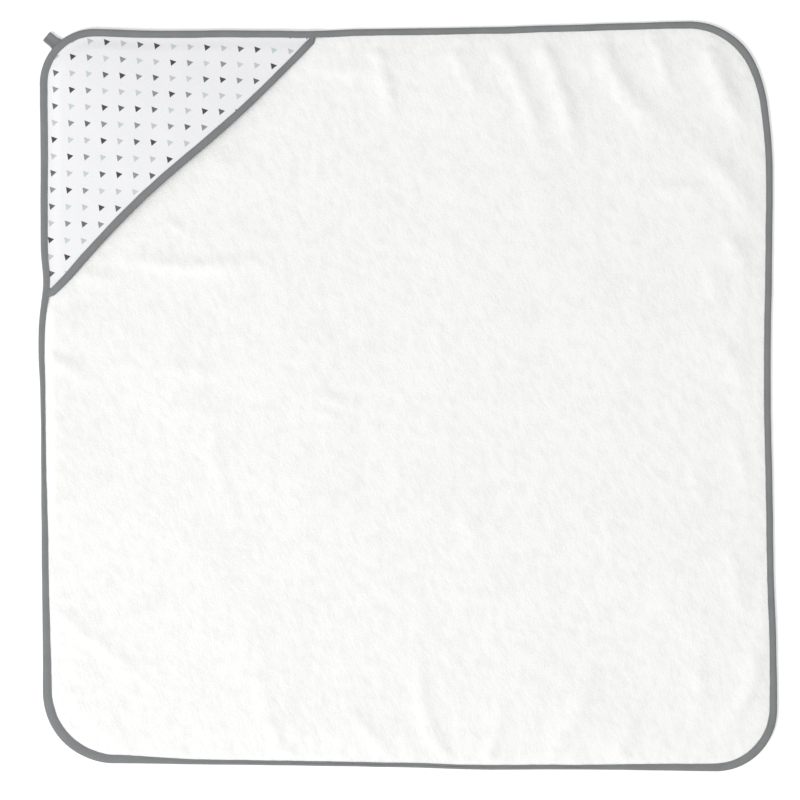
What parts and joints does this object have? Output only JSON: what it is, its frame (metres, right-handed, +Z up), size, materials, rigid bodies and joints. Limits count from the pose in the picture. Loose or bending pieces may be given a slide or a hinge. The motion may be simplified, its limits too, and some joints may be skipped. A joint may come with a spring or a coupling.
{
  "type": "hooded baby towel",
  "caption": "Square terry baby towel with rounded corners, grey bound edges, a printed triangular hood across one corner and a small hang loop.",
  "frame": {"origin": "middle of the towel's box on the plane it rests on", "axes": "+Z up from the rest face to the side with the hood, +Y towards the hooded end, +X across from the hood's side"},
  "size_m": [0.7582, 0.771, 0.0163],
  "materials": {
    "terry": "soft white looped terry",
    "printed_cloth": "smooth white plain weave with small grey and mint triangles",
    "lining_terry": "low white terry",
    "binding_tape": "matt grey cotton tape",
    "loop_tape": "matt grey cotton tape",
    "grey_thread": "grey polyester sewing thread",
    "white_thread": "white polyester sewing thread",
    "label_satin": "blank white satin"
  },
  "bodies": {
    "towel": {"towel_panel": "terry", "edge_binding": "binding_tape", "edge_needle_thread": "grey_thread", "edge_bobbin_thread": "grey_thread", "side_basting_thread": "white_thread"},
    "hood": {"hood_panel": "printed_cloth", "hood_lining": "lining_terry", "mouth_binding": "binding_tape", "mouth_needle_thread": "grey_thread", "mouth_bobbin_thread": "grey_thread"},
    "loop": {"hang_loop": "loop_tape"},
    "label": {"care_label": "label_satin"}
  },
  "joints": [
    {"name": "hood_lift", "type": "hinge", "parent": "towel", "child": "hood", "pos_m": [-0.35654, 0.35513, 0.00432], "axis": [-0.701, -0.7132, 0], "range_deg": [0, 28]},
    {"name": "loop_swing", "type": "hinge", "parent": "towel", "child": "loop", "pos_m": [-0.3639, 0.36163, 0.0015], "axis": [0.6947, 0.7193, 0], "range_deg": [-90, 90]},
    {"name": "label_swing", "type": "hinge", "parent": "towel", "child": "label", "pos_m": [-0.18531, -0.37062, 0], "axis": [0.9999, -0.0132, 0], "range_deg": [-150, 0]}
  ]
}
